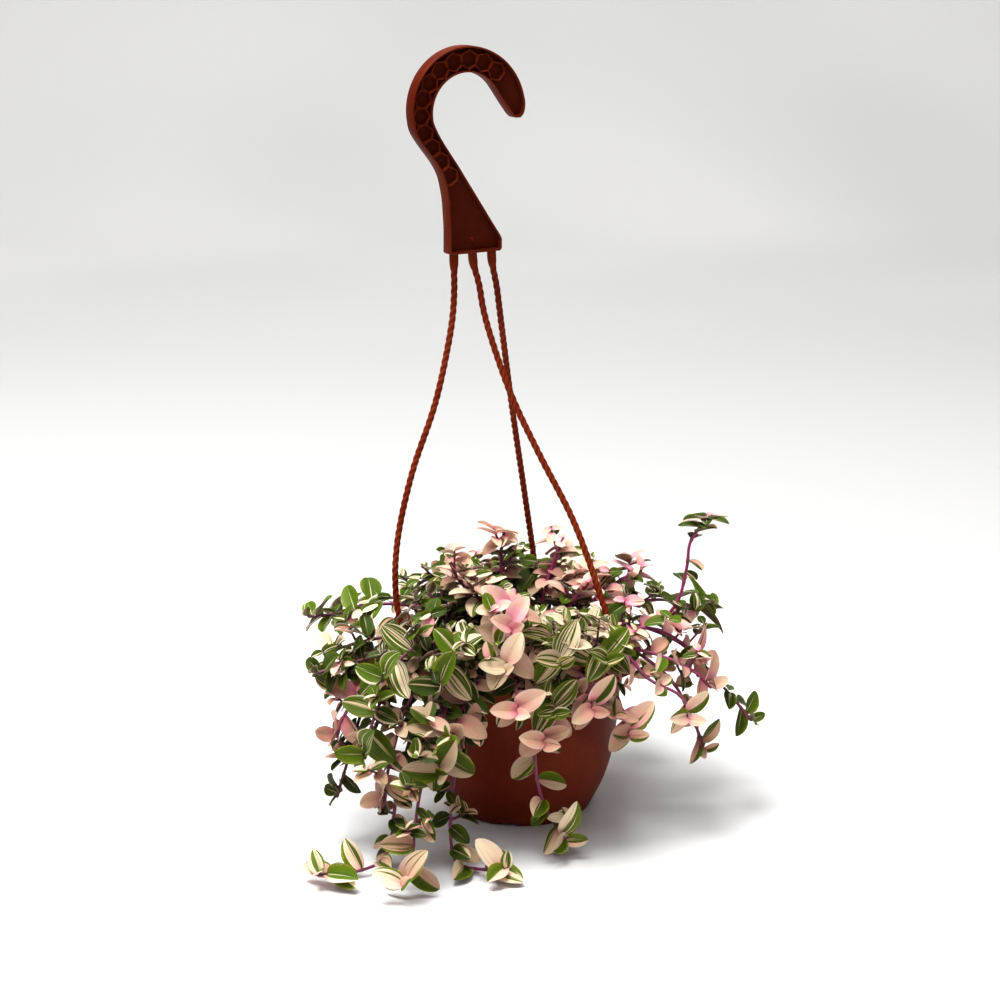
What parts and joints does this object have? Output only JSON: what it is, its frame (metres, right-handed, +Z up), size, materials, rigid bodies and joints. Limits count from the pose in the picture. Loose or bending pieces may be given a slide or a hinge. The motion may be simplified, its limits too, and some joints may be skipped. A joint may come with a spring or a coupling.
{
  "type": "hanging basket plant",
  "caption": "Trailing variegated turtle vine rooted in a brown plastic hanging pot with a hooked hanger on twisted arms.",
  "frame": {"origin": "centre of the pot's flat base, on the surface that it stands on", "axes": "+Z up along the pot's axis towards the hook, +X to the right and +Y away from the viewer as pictured"},
  "size_m": [0.2719, 0.2781, 0.4495],
  "materials": {
    "pot_plastic": "matte",
    "hanger_plastic": "satin",
    "potting_soil": "matte",
    "leaf_green": "satin",
    "leaf_cream": "satin",
    "leaf_pink": "satin"
  },
  "bodies": {
    "root": {"hanger_arm_back": "hanger_plastic", "hanger_arm_front": "hanger_plastic", "hanger_arm_left": "hanger_plastic", "hanger_hook": "hanger_plastic", "pot": "pot_plastic", "soil": "potting_soil", "vine_back_1": "leaf_green", "vine_back_2": "leaf_pink", "vine_back_3": "leaf_cream", "vine_back_4": "leaf_green", "vine_back_5": "leaf_pink", "vine_back_6": "leaf_cream", "vine_back_7": "leaf_green", "vine_cream_centre": "leaf_cream", "vine_crown_1": "leaf_green", "vine_crown_2": "leaf_cream", "vine_crown_3": "leaf_pink", "vine_crown_4": "leaf_green", "vine_crown_5": "leaf_cream", "vine_crown_6": "leaf_pink", "vine_crown_7": "leaf_green", "vine_crown_8": "leaf_cream", "vine_green_left": "leaf_green", "vine_green_middle_left": "leaf_green", "vine_half_white": "leaf_cream", "vine_left_arm": "leaf_green", "vine_left_bright": "leaf_green", "vine_left_dark": "leaf_green", "vine_left_green_drop": "leaf_green", "vine_left_lower": "leaf_green", "vine_left_middle": "leaf_cream", "vine_left_pink": "leaf_pink", "vine_peach_left": "leaf_pink", "vine_peach_low": "leaf_cream", "vine_peach_middle": "leaf_pink", "vine_peach_right": "leaf_pink", "vine_pink_centre": "leaf_pink", "vine_pink_drop": "leaf_pink", "vine_right_cream_lower": "leaf_cream", "vine_right_cream_upper": "leaf_cream", "vine_right_drop_lower": "leaf_cream", "vine_right_drop_upper": "leaf_cream", "vine_right_far": "leaf_green", "vine_right_low": "leaf_cream", "vine_right_pink_top": "leaf_pink", "vine_striped_centre": "leaf_green", "vine_striped_middle": "leaf_green", "vine_striped_right": "leaf_green", "vine_top_left": "leaf_pink", "vine_top_middle": "leaf_pink", "vine_top_right": "leaf_pink", "vine_trail_front": "leaf_cream", "vine_trail_front_left": "leaf_cream", "vine_trail_left": "leaf_cream", "vine_trail_right": "leaf_cream", "vine_upright": "leaf_green"}
  },
  "joints": []
}
